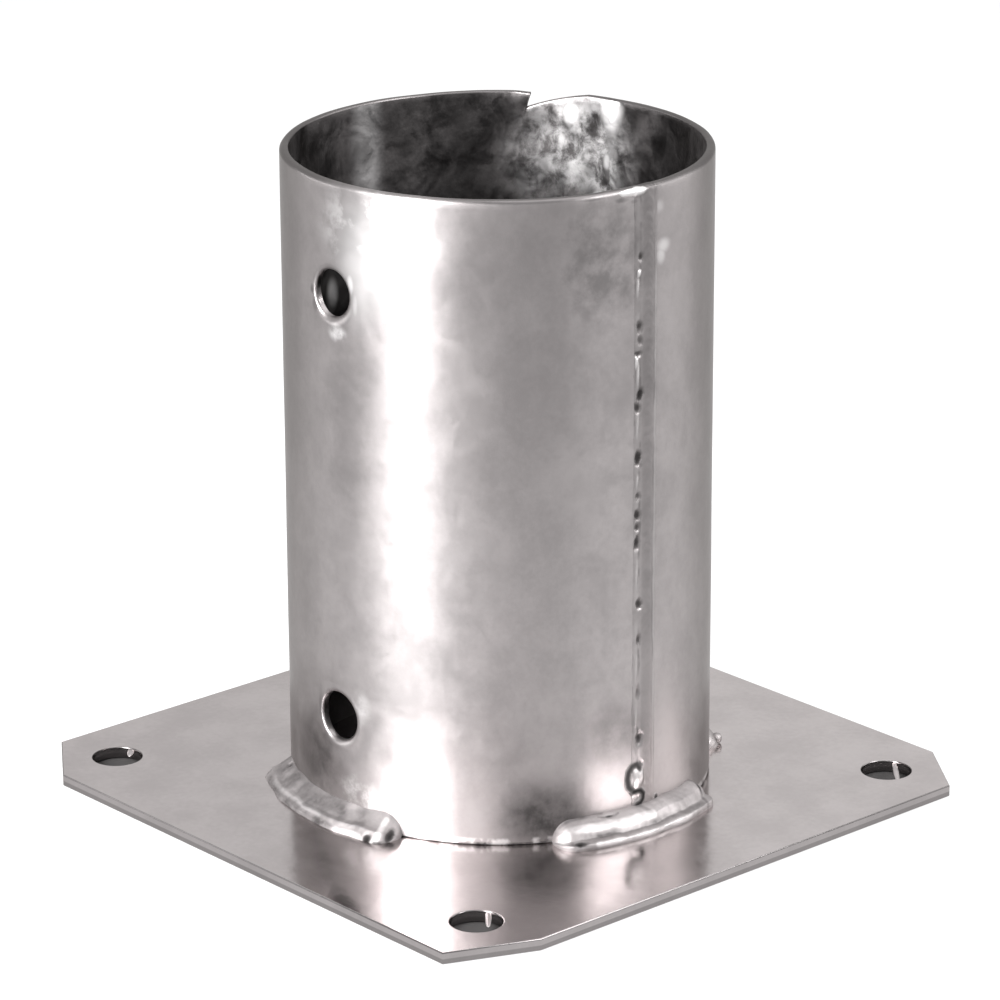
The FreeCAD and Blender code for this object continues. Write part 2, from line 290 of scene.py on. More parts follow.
def wall_points(radius, angles, heights, top):
    """Points of one face of the sleeve, with the tear's bent lip, a little waviness and the seam's groove.

    Top is the size of the rounding that this face leaves room for at the rim.
    """
    rim = RIM_HEIGHT - rim_drop(angles)
    share = np.clip((heights - FOLLOWS_TEAR) / (WALL_TOP - FOLLOWS_TEAR), 0.0, 1.0)
    height = heights + share * (rim - top - WALL_TOP)
    lip = np.where(angles > TEAR_ROOT + 0.01, 1 - smooth(TEAR_ROOT, LIP_START, angles), 0.0)
    lift = smooth(RIM_HEIGHT - 4.6, RIM_HEIGHT, height)
    angle = angles - (TEAR_ROOT - TEAR_LIP) * lip * lift
    bent = radius - LIP_BEND * lip ** 2 * lift
    bent = bent + 0.07 * ripple(around(SLEEVE_RADIUS, angle, height), 34.0, 5.0, 2)
    if radius == SLEEVE_RADIUS:
        inside = np.minimum(angles - SEAM_LEFT, SEAM_RIGHT - angles)
        bent = bent - GROOVE_DEPTH * smooth(0.0, 0.2, inside) * (1 - smooth(160.0, 161.5, height))
    return around(bent, angle, height)


def hole_edge(left, right, low, high):
    """Row and column of each grid point round a patch, in order."""
    edge = [(low, j) for j in range(left, right)] + [(i, right) for i in range(low, high)]
    return edge + [(high, j) for j in range(right, left, -1)] + [(i, left) for i in range(high, low, -1)]


def bolt_hole(shell, side, height, edge, angles, heights):
    """Faces from a patch's edge to one bolt hole and down its worn wall, and those on the bore's side."""
    level = BOLT_HEIGHTS.index(height)
    mouth, lean = MOUTHS[level], LEANS[level] if side < 0 else 0.0
    bore_first = len(angles) * len(heights)
    sheets = []
    for radius, shift, hole_radius, first in (
            (SLEEVE_RADIUS, 0.0, mouth[0][1], 0), (BORE_RADIUS, lean, mouth[-1][1], bore_first)):
        across = np.array([radius * math.sin(math.radians(angles[j] - side)) for i, j in edge])
        rise = np.array([heights[i] - height for i, j in edge])
        spin = np.arctan2(rise, across)
        loops = [[first + i * len(angles) + j for i, j in edge]]
        for t in (0.25, 0.45, 0.62, 0.77, 0.9, 1.0):
            x = across + (hole_radius * np.cos(spin) + shift - across) * t
            z = rise + (hole_radius * np.sin(spin) - rise) * t
            loops.append(shell.add(around(radius, side + np.degrees(np.arcsin(x / radius)), height + z)))
        sheets.append(loops)
    outer, inner = sheets
    wall = [outer[-1]]
    for depth, hole_radius in mouth[1:-1]:
        radius = SLEEVE_RADIUS - depth
        x, z = hole_radius * np.cos(spin) + lean * min(1.0, depth / LEAN_DEPTH), hole_radius * np.sin(spin)
        wall.append(shell.add(around(radius, side + np.degrees(np.arcsin(x / radius)), height + z)))
    wall.append(inner[-1])
    return bands(outer) + bands(wall), bands(inner)


def sleeve(materials):
    """Sleeve as one closed shell: both faces, the rounded rim and foot, and four bolt holes with worn mouths."""
    angles, heights = sleeve_angles(), sleeve_heights()
    rows, columns = len(heights), len(angles)
    angle_grid, height_grid = np.meshgrid(angles, heights)
    inner = wall_points(BORE_RADIUS, angle_grid, height_grid, RIM_INNER_ROUND)
    inner[0, :, 2] = PLATE_THICKNESS
    shell = Shell()
    shell.add(wall_points(SLEEVE_RADIUS, angle_grid, height_grid, RIM_OUTER_ROUND))
    shell.add(inner)

    keep = np.ones((rows - 1, columns), bool)
    holes = []
    for side in (-90.0, 90.0):
        for height in BOLT_HEIGHTS:
            left, right = np.searchsorted(angles, (side - PATCH_TURN, side + PATCH_TURN))
            low, high = np.searchsorted(heights + 0.001, (height - PATCH_RISE, height + PATCH_RISE))
            keep[low:high, left:right] = False
            holes.append((side, height, hole_edge(left, right, low, high)))
    faces, inside_faces = (
        [face for face, kept in zip(grid_faces(rows, columns, first, True), keep.ravel()) if kept]
        for first in (0, rows * columns))
    for side, height, edge in holes:
        outward, inward = bolt_hole(shell, side, height, edge, angles, heights)
        faces += outward
        inside_faces += inward

    # Rounded rim, with the tear's lip, and rounded foot
    rim = RIM_HEIGHT - rim_drop(angles) + 0.12 * ripple(around(SLEEVE_RADIUS, angles, 0.0), 20.0, 9.0, 2)
    lip = np.where(angles > TEAR_ROOT + 0.01, 1 - smooth(TEAR_ROOT, LIP_START, angles), 0.0)
    shifted = angles - (TEAR_ROOT - TEAR_LIP) * lip
    bend = -LIP_BEND * lip ** 2
    loops = [list(range((rows - 1) * columns, rows * columns))]
    for radius, turns, size in (
            (SLEEVE_RADIUS - RIM_OUTER_ROUND, (22, 45, 68, 90), RIM_OUTER_ROUND),
            (BORE_RADIUS + RIM_INNER_ROUND, (90, 125, 155), RIM_INNER_ROUND)):
        for a in np.radians(turns):
            ring = around(radius + size * math.cos(a) + bend, shifted, rim - size + size * math.sin(a))
            loops.append(shell.add(ring))
    loops.append(list(range((2 * rows - 1) * columns, 2 * rows * columns)))
    faces += bands(loops)
    loops = [list(range(columns))]
    for a in np.radians((30, 60, 90)):
        radius = SLEEVE_RADIUS - FOOT_ROUND + FOOT_ROUND * math.cos(a)
        height = PLATE_THICKNESS + FOOT_ROUND - FOOT_ROUND * math.sin(a) + 0.01
        loops.append(shell.add(around(radius, angles, height)))
    loops.append(list(range(rows * columns, (rows + 1) * columns)))
    faces += bands(loops)
    marks = [0] * len(faces) + [1] * len(inside_faces)
    points = np.concatenate(shell.points)
    return new_object("sleeve_shell", points, faces + inside_faces, materials, marks=marks)


def seam(material):
    """Seam weld as a strip in the sleeve's groove, from the foot over the rim, with pits, drips and lumps."""
    columns = np.concatenate([np.arange(-11.0, -6.4, 0.4), np.arange(-6.4, 6.4, 0.2)])
    centre, size = SLEEVE_RADIUS - RIM_OUTER_ROUND, RIM_OUTER_ROUND
    wall = [(SLEEVE_RADIUS, z, 1.0, 0.0) for z in np.arange(3.2, WALL_TOP, 0.35)]
    wall += [
        (centre + size * math.cos(a), RIM_HEIGHT - size + size * math.sin(a), math.cos(a), math.sin(a))
        for a in np.radians(range(0, 91, 10))]
    wall += [(centre - inward, RIM_HEIGHT, 0.0, 1.0) for inward in (0.4, 0.8)]
    base = np.array(wall)[:, None, :]
    angle = columns[None, :]
    radius, height, out, up = (base[..., k] for k in range(4))
    path = height - (radius - SLEEVE_RADIUS) * 0.8
    line = around(SLEEVE_RADIUS, 0.0, path[:, 0])
    field = around(SLEEVE_RADIUS, angle, path)
    left = -4.9 + 0.4 * ripple(line, 7.0, 2.0, 3)[:, None]
    right = 3.9 + 0.14 * ripple(line, 9.0, 8.0, 3)[:, None]
    ridge = 2.6 + 0.35 * ripple(line, 8.0, 5.0, 3)[:, None]
    valley = -1.7 + 0.4 * ripple(line, 6.0, 6.0, 3)[:, None]
    rough = ripple(field, 2.2, 4.0, 3)
    inside = smooth(0.0, 0.8, angle - left) * smooth(0.0, 0.3, right - angle)
    crown = np.sqrt(np.clip(1 - ((angle - (ridge + valley) / 2) / ((ridge - valley) / 2)) ** 2, 0, 1))
    rise = -0.35 + inside * (0.39 + 0.1 * crown + 0.02 * rough)
    rise = rise + 0.015 * crown * np.sin(2 * np.pi * (path / 2.3 + 0.25 * (angle - 0.4) ** 2))

    # Tones: a darker, mottled crown; painted shade in the valley and just inside the left edge; a dark line along the
    # ridge; and lighter stripes right of the ridge and near the left edge
    dark_and_painted_shade = 0.2 * crown * smooth(-1.9, -1.0, angle) + 0.1 * inside * np.clip(ripple(field, 5.0, 9.0, 3) + 0.1, 0, 1)
    uneven = np.clip(0.75 + ripple(line, 9.0, 1.0, 2)[:, None], 0.2, 1)
    dark_and_painted_shade = np.maximum(dark_and_painted_shade, 0.26 * hump(angle - ridge, 0.65) * uneven)
    broken = np.clip(0.3 + 1.6 * ripple(line, 5.0, 6.0, 3), 0, 1)[:, None]
    dark_and_painted_shade = np.maximum(dark_and_painted_shade, 0.5 * broken * hump(angle - valley + 0.5, 0.6))
    worn = np.clip(1.8 * ripple(line, 4.0, 12.0, 3), 0, 1)[:, None]
    dark_and_painted_shade = np.maximum(dark_and_painted_shade, 0.35 * worn * hump(angle - left - 0.5, 0.45))
    bright_and_painted_highlight = 0.16 * hump(angle - ridge - 0.8, 0.7) * smooth(20.0, 40.0, path) * (1 - smooth(140.0, 160.0, path))
    bright_and_painted_highlight = bright_and_painted_highlight + 0.1 * hump(angle + 3.0, 1.0) * np.clip(0.5 + ripple(line, 6.0, 14.0, 3), 0, 1)[:, None]

    # Drips, with painted shadow beside each, and pits with painted shade inside
    for drip_height, place, half, wide, strength in SEAM_DRIPS:
        slant = angle - place - 0.12 * (path - drip_height) / half
        reach = np.hypot((path - drip_height) / (1.15 * half), slant / wide)
        rise = rise + 0.3 * hump(reach, 1.0)
        bright_and_painted_highlight = np.maximum(bright_and_painted_highlight, strength * np.sqrt(hump(reach, 1.0)))
        beside = np.hypot((path - drip_height) / (1.3 * half), (angle - place + 0.8) / 0.5)
        dark_and_painted_shade = np.maximum(dark_and_painted_shade * (1 - hump(reach, 1.1)), 0.5 * strength * hump(beside, 1.0))
    for pit_height, place, half, wide, depth in SEAM_PITS:
        reach = np.hypot((path - pit_height) / (1.55 * half), (angle - place) / (1.6 * wide)) + 0.3 * rough
        rise = rise - depth * hump(reach, 1.0)
        bright_and_painted_highlight = bright_and_painted_highlight * (1 - hump(reach, 1.2))
        dark_and_painted_shade = np.maximum(dark_and_painted_shade, (0.45 + 0.4 * depth) * np.sqrt(hump(reach, 1.0)))

    # Lump at the start, with its crooked edge, its hook and a dark spot to the right of it
    x, edge = angle * MM_A_DEGREE, [(place * MM_A_DEGREE, edge_height) for place, edge_height in LUMP_EDGE]
    lump = np.hypot((angle + 2.9) / 2.9, (path - 15.6) / 3.3) + 0.08 * rough
    rise = rise + 1.0 * np.sqrt(hump(lump, 1.0)) + 0.12 * rough * (lump < 1)
    mottle = np.clip(0.55 + 0.9 * ripple(field, 3.0, 15.0, 3), 0, 1)
    bright_and_painted_highlight = np.maximum(bright_and_painted_highlight, 0.9 * smooth(1.0, 0.7, lump) * mottle)
    dark_and_painted_shade = dark_and_painted_shade * np.clip(lump, 0, 1)
    dark = stroke(x, path, edge, 1.15)
    hook = stroke(x, path, edge[HOOK_START:], 1.2)
    rise = np.where(dark + hook > 0, np.maximum(rise, 0.06), rise) + 0.35 * hook
    dark_and_painted_shade = np.maximum(dark_and_painted_shade, np.maximum(0.8 * np.sqrt(dark), 0.95 * hook))
    bright_and_painted_highlight = bright_and_painted_highlight * (1 - np.clip(1.6 * dark, 0, 1))
    tail = np.hypot((angle - 4.6) / 0.9, (path - 8.6) / 1.6)
    dark_and_painted_shade = np.maximum(dark_and_painted_shade, 0.9 * np.sqrt(hump(tail, 1.0)))
    dark_and_painted_shade = np.maximum(dark_and_painted_shade, 0.4 * hump(angle - 4.4, 0.5) * hump(path - 11.5, 3.0))
    rise = np.where(tail < 1, np.maximum(rise, 0.05), rise)

    # Lump where the weld runs off the rim, with a painted highlight on its top
    run_off = np.hypot((angle + 4.9) / 5.4, (path - 163.4) / 1.5) + 0.1 * rough
    rise = rise + 1.0 * hump(run_off, 1.0) ** 0.6
    bright_and_painted_highlight = np.maximum(bright_and_painted_highlight, 0.95 * smooth(1.0, 0.6, run_off))
    dark_and_painted_shade = dark_and_painted_shade * smooth(0.9, 1.1, run_off)
    points = around(radius + rise * out, angle, height + rise * up)
    faces = grid_faces(len(wall), len(columns))
    tones = (("dark_and_painted_shade", dark_and_painted_shade), ("bright_and_painted_highlight", bright_and_painted_highlight))
    return new_object("seam_bead", points.reshape(-1, 3), faces, [material], 70.0, tones=tones)


def bead(name, material):
    """Stitch weld between plate and sleeve: rolled ridges, faint crescent ripples, craters and rounded ends."""
    first, last, leg_out, leg_up, profile, craters, painted_shade_strokes, painted_highlight_strokes, seed = STITCHES[name]
    length = math.radians(last - first) * SLEEVE_RADIUS
    along = np.linspace(0.02, length - 0.02, int(length / 0.24))[:, None]
    across = np.linspace(0.0, 1.0, 40)[None, :]
    angle = first + np.degrees(along / SLEEVE_RADIUS) + 0 * across
    from_end = np.minimum(along, length - along)
    size = np.sqrt(1 - np.clip(1 - from_end / 5.0, 0, 1) ** 2)
    field = around(SLEEVE_RADIUS + leg_out * (1 - across), angle, PLATE_THICKNESS + leg_up * across)
    size = size * (1 + 0.08 * ripple(around(SLEEVE_RADIUS, angle[:, :1], 0.0), 9.0, seed, 2))
    out, rise = size * leg_out * (1 - across), size * leg_up * across
    slope = math.hypot(leg_out, leg_up)
    places, heights = zip(*profile)
    shift = 0.09 * ripple(around(SLEEVE_RADIUS, angle[:, :1], 0.0), 8.0, seed + 4, 3)
    place_across = np.clip(across + shift * np.sin(np.pi * across), 0, 1)
    proud = np.interp(place_across, places, heights) * np.sqrt(np.clip(size, 0, 1))
    crescent = along / 2.6 + 0.9 * (across - 0.5) ** 2 * 4 + 0.3 * ripple(field, 7.0, seed + 1, 2)
    inner_face = np.sin(np.pi * across) ** 0.6 * np.clip(size, 0, 1)
    proud = proud + inner_face * (0.035 * np.abs(np.sin(np.pi * crescent)) - 0.02)
    proud = proud + inner_face * (0.07 * ripple(field, 3.6, seed + 2, 3) + 0.14 * ripple(field, 12.0, seed + 3, 2))
    x, y = np.radians(angle) * SLEEVE_RADIUS, place_across * slope

    # Painted shade and painted highlight strokes, and craters with painted shade inside
    cloud = np.clip(0.75 + 0.7 * ripple(field, 4.0, seed + 5, 3), 0, 1.2)
    dark_and_painted_shade, bright_and_painted_highlight = np.zeros(proud.shape), np.zeros(proud.shape)
    for tone, strokes in ((dark_and_painted_shade, painted_shade_strokes), (bright_and_painted_highlight, painted_highlight_strokes)):
        for line, width, strength in strokes:
            line = [(math.radians(turn) * SLEEVE_RADIUS, place * slope) for turn, place in line]
            np.maximum(tone, strength * cloud * np.sqrt(stroke(x, y, line, width)), out=tone)
    for crater_angle, place, half_along, half_across, depth, black in craters:
        from_crater = x - math.radians(crater_angle) * SLEEVE_RADIUS
        reach = np.hypot(from_crater / half_along, (across - place) * slope / half_across)
        reach = reach + 0.12 * ripple(field, 1.6, seed + 6, 2)
        proud = proud - depth * hump(reach, 1.1)
        dark_and_painted_shade = np.maximum(dark_and_painted_shade, black * np.sqrt(hump(reach, 1.15)))
        bright_and_painted_highlight = bright_and_painted_highlight * (1 - hump(reach, 1.2))

    # Proud face, with both edges carried on into the steel
    out, rise = out + proud * leg_up / slope, rise + proud * leg_out / slope
    buried = np.full((len(along), 1), -0.6)
    out, rise = np.hstack([out[:, :1], out, buried]), np.hstack([buried, rise, rise[:, -1:]])
    angle, dark_and_painted_shade, bright_and_painted_highlight = (np.hstack([part[:, :1], part, part[:, -1:]]) for part in (angle, dark_and_painted_shade, bright_and_painted_highlight))
    points = around(SLEEVE_RADIUS + out, angle, PLATE_THICKNESS + rise)
    faces = grid_faces(*points.shape[:2])
    tones = (("dark_and_painted_shade", dark_and_painted_shade), ("bright_and_painted_highlight", bright_and_painted_highlight))
    return new_object(name.replace("weld", "bead"), points.reshape(-1, 3), faces, [material], 60.0, tones=tones)


def blob(name, centre, sizes, turn, material):
    """Uneven ball of metal with its own size along each axis, turned round +Z."""
    ball = bmesh.new()
    bmesh.ops.create_icosphere(ball, subdivisions=4, radius=0.5)
    points = np.array([vertex.co[:] for vertex in ball.verts]) * sizes
    faces = [[vertex.index for vertex in face.verts] for face in ball.faces]
    ball.free()
    points = points * (1 + 0.08 * ripple(points, 1.6, 3.0, 2))[:, None]
    cos, sin = math.cos(math.radians(turn)), math.sin(math.radians(turn))
    x, y, z = points.T
    points = np.stack([x * cos - y * sin, x * sin + y * cos, z], axis=-1) + centre
    return new_object(name, points, faces, [material], 180.0)


def plate(material):
    """Sheared plate with four anchor holes, its edges rounded, from a flat outline with thickness."""
    half = PLATE_SIDE / 2
    corners = []
    for quarter, (first, second) in enumerate(CLIP_LEGS):
        turn = Matrix.Rotation(math.radians(90.0 * quarter), 2)
        corners += [turn @ Vector((half - first, -half)), turn @ Vector((half, second - half))]
    loops = [corners]
    for x in (-ANCHOR_REACH, ANCHOR_REACH):
        for y in (-ANCHOR_REACH, ANCHOR_REACH):
            turns = [-2 * math.pi * k / 96 for k in range(96)]
            loops.append([(x + ANCHOR_RADIUS * math.cos(t), y + ANCHOR_RADIUS * math.sin(t)) for t in turns])
    curve = bpy.data.curves.new("plate_outline", "CURVE")
    curve.dimensions = "2D"
    curve.fill_mode = "BOTH"
    curve.extrude = (PLATE_THICKNESS / 2 - PLATE_EDGE_ROUND) * MM
    curve.bevel_depth = PLATE_EDGE_ROUND * MM
    curve.bevel_resolution = 4
    curve.offset = -PLATE_EDGE_ROUND * MM
    for loop in loops:
        spline = curve.splines.new("POLY")
        spline.points.add(len(loop) - 1)
        for point, place in zip(spline.points, loop):
            point.co = (place[0] * MM, place[1] * MM, 0, 1)
        spline.use_cyclic_u = True
    holder = bpy.data.objects.new("plate_outline", curve)
    mesh = bpy.data.meshes.new_from_object(holder)
    bpy.data.objects.remove(holder)
    mesh.name = "plate_sheet"
    mesh.transform(Matrix.Translation((0, 0, PLATE_THICKNESS / 2 * MM)))
    mesh.shade_smooth()
    mesh.set_sharp_from_angle(angle=math.radians(30))
    mesh.materials.clear()
    mesh.materials.append(material)
    obj = bpy.data.objects.new("plate_sheet", mesh)
    bpy.context.scene.collection.objects.link(obj)
    return obj


# Materials

class Paint:
    """Node material with short calls for the nodes that it uses; places are in millimetres."""

    def __init__(self, name):
        self.material = bpy.data.materials.new(name)
        self.material.use_nodes = True
        self.tree = self.material.node_tree
        self.shader = self.tree.nodes["Principled BSDF"]
        place = self.tree.nodes.new("ShaderNodeTexCoord").outputs["Object"]
        self.place = self.vector("SCALE", place, scale=1000.0)

    def put(self, socket, value):
        if isinstance(value, bpy.types.NodeSocket):
            self.tree.links.new(value, socket)
        else:
            socket.default_value = value

    def vector(self, operation, a, b=None, scale=None):
        node = self.tree.nodes.new("ShaderNodeVectorMath")
        node.operation = operation
        self.put(node.inputs[0], a)
        if b is not None:
            self.put(node.inputs[1], b)
        if scale is not None:
            node.inputs["Scale"].default_value = scale
        return node.outputs["Value" if operation == "LENGTH" else "Vector"]

    def maths(self, operation, a, b):
        node = self.tree.nodes.new("ShaderNodeMath")
        node.operation = operation
        self.put(node.inputs[0], a)
        self.put(node.inputs[1], b)
        return node.outputs[0]

    def noise(self, size, detail, rough=0.5, stretch=(1.0, 1.0, 1.0), twist=0.0):
        """Noise of 0 to 1 with features of about a size in millimetres, stretched along an axis."""
        node = self.tree.nodes.new("ShaderNodeTexNoise")
        scale = tuple(1.0 / (size * part) for part in stretch)
        self.put(node.inputs["Vector"], self.vector("MULTIPLY", self.place, scale))
        node.inputs["Scale"].default_value = 1.0
        node.inputs["Detail"].default_value = detail
        node.inputs["Roughness"].default_value = rough
        node.inputs["Distortion"].default_value = twist
        return node.outputs["Fac"]

    def remap(self, value, low, high, to_low=0.0, to_high=1.0):
        node = self.tree.nodes.new("ShaderNodeMapRange")
        node.interpolation_type = "SMOOTHSTEP"
        for socket, number in zip(node.inputs[:5], (value, low, high, to_low, to_high)):
            self.put(socket, number)
        return node.outputs[0]

    def spot(self, centre, reach):
        """Soft mask of 1 at a centre, gone at a reach along each axis."""
        offset = self.vector("SUBTRACT", self.place, tuple(centre))
        share = self.vector("MULTIPLY", offset, tuple(1.0 / part for part in reach))
        return self.remap(self.vector("LENGTH", share), 1.0, 0.15)

    def height(self):
        node = self.tree.nodes.new("ShaderNodeSeparateXYZ")
        self.put(node.inputs[0], self.place)
        return node.outputs["Z"]

    def tone(self, label):
        """Tone given a point in the mesh."""
        node = self.tree.nodes.new("ShaderNodeAttribute")
        node.attribute_name = label
        return node.outputs["Fac"]

    def blend(self, share, a, b):
        node = self.tree.nodes.new("ShaderNodeMix")
        node.data_type = "RGBA"
        self.put(node.inputs["Factor"], share)
        self.put(node.inputs["A"], a)
        self.put(node.inputs["B"], b)
        return node.outputs["Result"]

    def bump(self, value, depth, normal=None):
        """Bump of a depth in millimetres per unit of the value."""
        node = self.tree.nodes.new("ShaderNodeBump")
        node.inputs["Distance"].default_value = depth * MM
        self.put(node.inputs["Height"], value)
        if normal is not None:
            self.put(node.inputs["Normal"], normal)
        return node.outputs["Normal"]


def grey(level, warmth=0.07):
    """Warm neutral grey of a linear level."""
    return (level * (1 + warmth), level, level, 1.0)


def zinc(name, dark, light, rough, gloss_mottle, waves, grain, shade=None, shine=None, stretch=0.0, toned=False):
    """Dipped zinc: clouded grey with fine grain, uneven gloss and slight waves in the coat.

    Shade and shine are functions that mask its painted shade and its brighter places, most of them painted light,
    stretch draws its highlights out along the sleeve, and toned metal takes from the mesh its darker and brighter
    tones, mostly painted shade and painted highlights.
    """
    paint = Paint(name)
    cloud = paint.noise(16.0, 5.0, 0.55, (1.0, 1.0, 1.6))
    fine = paint.noise(1.6, 3.0, 0.6)
    tone = paint.maths("ADD", paint.maths("MULTIPLY", cloud, 0.75), paint.maths("MULTIPLY", fine, 0.25))
    tone = paint.remap(tone, 0.34, 0.66)
    colour = paint.blend(tone, grey(dark), grey(light))
    # Painted shade and painted light from the two masks.
    if shade is not None:
        colour = paint.blend(shade(paint), colour, grey(0.07, 0.06))
    if shine is not None:
        colour = paint.blend(shine(paint), colour, grey(0.85, 0.02))
    # The mesh's tones: brighter, mostly painted highlights, and darker, mostly painted shade.
    if toned:
        colour = paint.blend(paint.tone("bright_and_painted_highlight"), colour, grey(0.72, 0.03))
        colour = paint.blend(paint.tone("dark_and_painted_shade"), colour, grey(0.012, 0.1))
    paint.put(paint.shader.inputs["Base Color"], colour)
    paint.shader.inputs["Metallic"].default_value = 1.0
    paint.shader.inputs["Specular Tint"].default_value = (0.62, 0.61, 0.6, 1.0)
    patch = paint.noise(9.0, 4.0, 0.6, twist=0.6)
    gloss = paint.remap(patch, 0.3, 0.7, rough - gloss_mottle / 2, rough + gloss_mottle / 2)
    if toned:
        gloss = paint.maths("MAXIMUM", gloss, paint.remap(paint.tone("dark_and_painted_shade"), 0.1, 0.7, 0.0, 0.95))
    paint.put(paint.shader.inputs["Roughness"], gloss)
    if stretch:
        tangent = paint.tree.nodes.new("ShaderNodeTangent")
        tangent.direction_type = "RADIAL"
        tangent.axis = "Z"
        paint.put(paint.shader.inputs["Tangent"], tangent.outputs[0])
        paint.shader.inputs["Anisotropic"].default_value = stretch
        paint.shader.inputs["Anisotropic Rotation"].default_value = 0.25
    normal = paint.bump(paint.noise(13.0, 3.0, 0.5, (1.0, 1.0, 1.5)), waves * 6)
    normal = paint.bump(paint.noise(3.5, 3.0, 0.55), waves, normal)
    normal = paint.bump(paint.noise(0.7, 2.0, 0.5), grain, normal)
    paint.put(paint.shader.inputs["Normal"], normal)
    return paint.material


def on_sleeve(angle, height):
    """Place on the sleeve's outer face."""
    turn = math.radians(angle)
    return (SLEEVE_RADIUS * math.cos(turn), SLEEVE_RADIUS * math.sin(turn), height)


def marks_at(paint, spots):
    """Highest of some soft spots, each a place, a reach along each axis and a weight."""
    marks = 0.0
    for centre, reach, weight in spots:
        marks = paint.maths("MAXIMUM", marks, paint.maths("MULTIPLY", paint.spot(centre, reach), weight))
    return marks


def sleeve_painted_shade(paint):
    """Painted shade on the sleeve: darker towards the rim and on the rim's top, painted shadow in the gap at the foot
    and under the run-off lump, painted shade over some reflections, and a few dark patches.
    """
    cloud = paint.remap(paint.noise(5.0, 4.0, 0.6), 0.3, 0.7, 0.6, 1.0)
    # Painted shade: a dark reflection near the foot at -30 degrees; shade over reflections round the left of both
    # bolt holes' mouths, near the foot at -10 degrees and on the rim at -17 degrees; darker high on the right at -13
    # degrees; and shadow under the run-off lump at -8.4 and -4.4 degrees. The others are dark patches low on the
    # left, at the plus-x stitch weld's left end and by the seam.
    shade_and_dark_spots = paint.maths("MULTIPLY", cloud, marks_at(paint, (
        (on_sleeve(-98.5, 16.0), (15.0, 12.0, 19.0), 0.85),
        (on_sleeve(-98.6, 136.3), (1.5, 2.6, 2.4), 0.9),
        (on_sleeve(-97.2, 132.6), (2.4, 2.6, 4.2), 0.75),
        (on_sleeve(-30.0, 9.5), (16.0, 18.0, 13.0), 1.0),
        (on_sleeve(-29.4, 3.9), (1.7, 1.7, 1.1), 1.0),
        (on_sleeve(-97.8, 29.5), (1.6, 2.0, 7.5), 0.55),
        (on_sleeve(-8.4, 161.7), (3.6, 4.4, 1.5), 0.9),
        (on_sleeve(-4.4, 160.9), (2.4, 2.4, 1.3), 0.7),
        (on_sleeve(-0.6, 157.5), (1.6, 1.8, 5.5), 0.3),
        (on_sleeve(3.4, 153.0), (1.2, 1.2, 2.0), 0.5),
        (on_sleeve(-10.0, 28.0), (13.0, 13.0, 12.0), 0.55),
        (on_sleeve(-13.0, 149.0), (22.0, 22.0, 34.0), 0.75),
        (on_sleeve(-17.0, 163.3), (8.0, 8.0, 1.6), 0.9),
    )))
    # Painted shade: darker towards the top.
    upward = paint.remap(paint.height(), 25.0, 165.0, 0.0, 0.36)
    # Painted shade on the rim's top, where its highlight shows, lifted at the left front so that the highlight stays
    # there.
    bright = paint.maths("MULTIPLY", paint.spot(on_sleeve(-72.0, 164.0), (26.0, 26.0, 26.0)), 0.6)
    rim = paint.remap(paint.height(), 162.4, 163.6, 0.0, 0.75)
    rim = paint.maths("MULTIPLY", rim, paint.maths("SUBTRACT", 1.0, bright))
    # Painted shadow in the gap at the foot, broken by noise.
    broken = paint.remap(paint.noise(4.0, 3.0), 0.4, 0.55, 0.3, 0.9)
    foot_gap_shadow = paint.maths("MULTIPLY", paint.remap(paint.height(), 4.1, 3.5), broken)
    return paint.maths("MAXIMUM", paint.maths("MAXIMUM", shade_and_dark_spots, foot_gap_shadow), paint.maths("MAXIMUM", upward, rim))


def sleeve_highlights_and_blotches(paint):
    """Brighter blotches and patches, a painted highlight on the upper bolt hole's mouth, and a painted highlight
    along the foot's rounded edge.
    """
    speckle = paint.remap(paint.noise(6.0, 5.0, 0.6), 0.36, 0.66)
    blotches = paint.maths("MULTIPLY", speckle, marks_at(paint, (
        (on_sleeve(-83.0, 10.0), (9.0, 9.0, 8.0), 1.0),
        (on_sleeve(-78.0, 154.0), (18.0, 18.0, 15.0), 0.6),
        (on_sleeve(-64.0, 155.0), (10.0, 10.0, 10.0), 0.4),
        (on_sleeve(-88.0, 127.5), (4.0, 4.0, 3.0), 0.9),
        (on_sleeve(-81.5, 34.0), (4.0, 4.0, 6.0), 0.5),
    )))
    # Lighter patches right of the seam and left of the highlight band; the three spots right of the upper bolt hole
    # at -90 degrees are a painted highlight on its mouth.
    patches = marks_at(paint, (
        (on_sleeve(6.2, 148.4), (2.6, 3.2, 2.6), 0.3),
        (on_sleeve(5.2, 146.2), (1.8, 2.2, 3.0), 0.28),
        (on_sleeve(4.4, 158.2), (1.8, 2.4, 2.2), 0.14),
        (on_sleeve(-79.5, 147.0), (11.0, 11.0, 22.0), 0.4),
        (on_sleeve(-83.0, 140.2), (1.9, 1.6, 4.2), 0.8),
        (on_sleeve(-81.4, 136.0), (1.6, 1.4, 5.0), 0.4),
        (on_sleeve(-80.0, 143.4), (3.2, 1.6, 1.2), 0.35),
    ))
    # Painted highlight along the foot's rounded edge, broken by noise.
    broken = paint.remap(paint.noise(5.0, 3.0), 0.42, 0.55)
    foot = paint.maths("MULTIPLY", paint.remap(paint.height(), 5.2, 4.3), broken)
    foot = paint.maths("MULTIPLY", foot, 0.6)
    return paint.maths("MAXIMUM", paint.maths("MAXIMUM", blotches, patches), foot)


